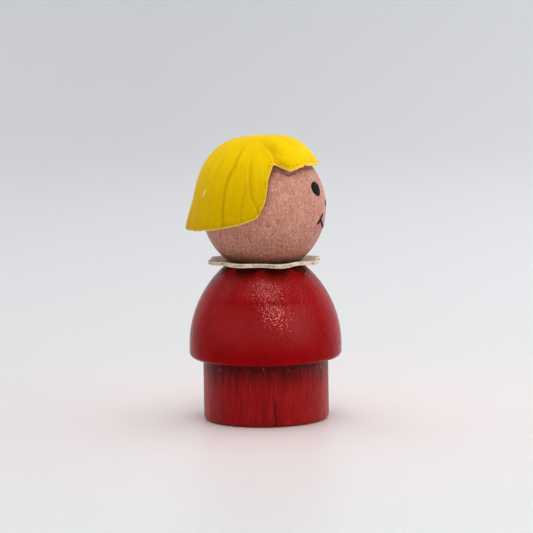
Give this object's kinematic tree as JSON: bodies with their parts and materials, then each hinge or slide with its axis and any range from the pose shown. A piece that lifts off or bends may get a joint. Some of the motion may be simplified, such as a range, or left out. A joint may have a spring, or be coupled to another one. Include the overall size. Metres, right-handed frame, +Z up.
{
  "type": "wooden peg figure",
  "caption": "Turned wooden peg figure with a plug foot, domed skirt, loose scalloped collar, swivelling ball head and moulded bob of hair.",
  "frame": {"origin": "centre of the plug foot's flat underside", "axes": "+Z up the turning axis; the face looks along -Y, so -X is the figure's right"},
  "size_m": [0.027, 0.0272, 0.0501],
  "materials": {
    "red_lacquered_wood": "red lacquer over straight grain, glossy on the dome and worn on the plug foot",
    "bright_steel": "bright drawn wire",
    "cream_vinyl": "matt, yellowed and stained",
    "flesh_painted_wood": "thin satin paint over vertical grain",
    "yellow_vinyl": "soft satin moulding",
    "black_ink": "printed black ink"
  },
  "bodies": {
    "base": {"wooden_body": "red_lacquered_wood", "neck_nail": "bright_steel"},
    "collar": {"scalloped_collar": "cream_vinyl"},
    "head": {"wooden_head": "flesh_painted_wood", "hair_cap": "yellow_vinyl"}
  },
  "joints": [
    {"name": "head_swivel", "type": "hinge", "parent": "base", "child": "head", "pos_m": [0, 0, 0.0282], "axis": [0, 0, 1], "continuous": true},
    {"name": "collar_spin", "type": "hinge", "parent": "base", "child": "collar", "pos_m": [0, 0, 0.0279], "axis": [0, 0, 1], "continuous": true}
  ]
}
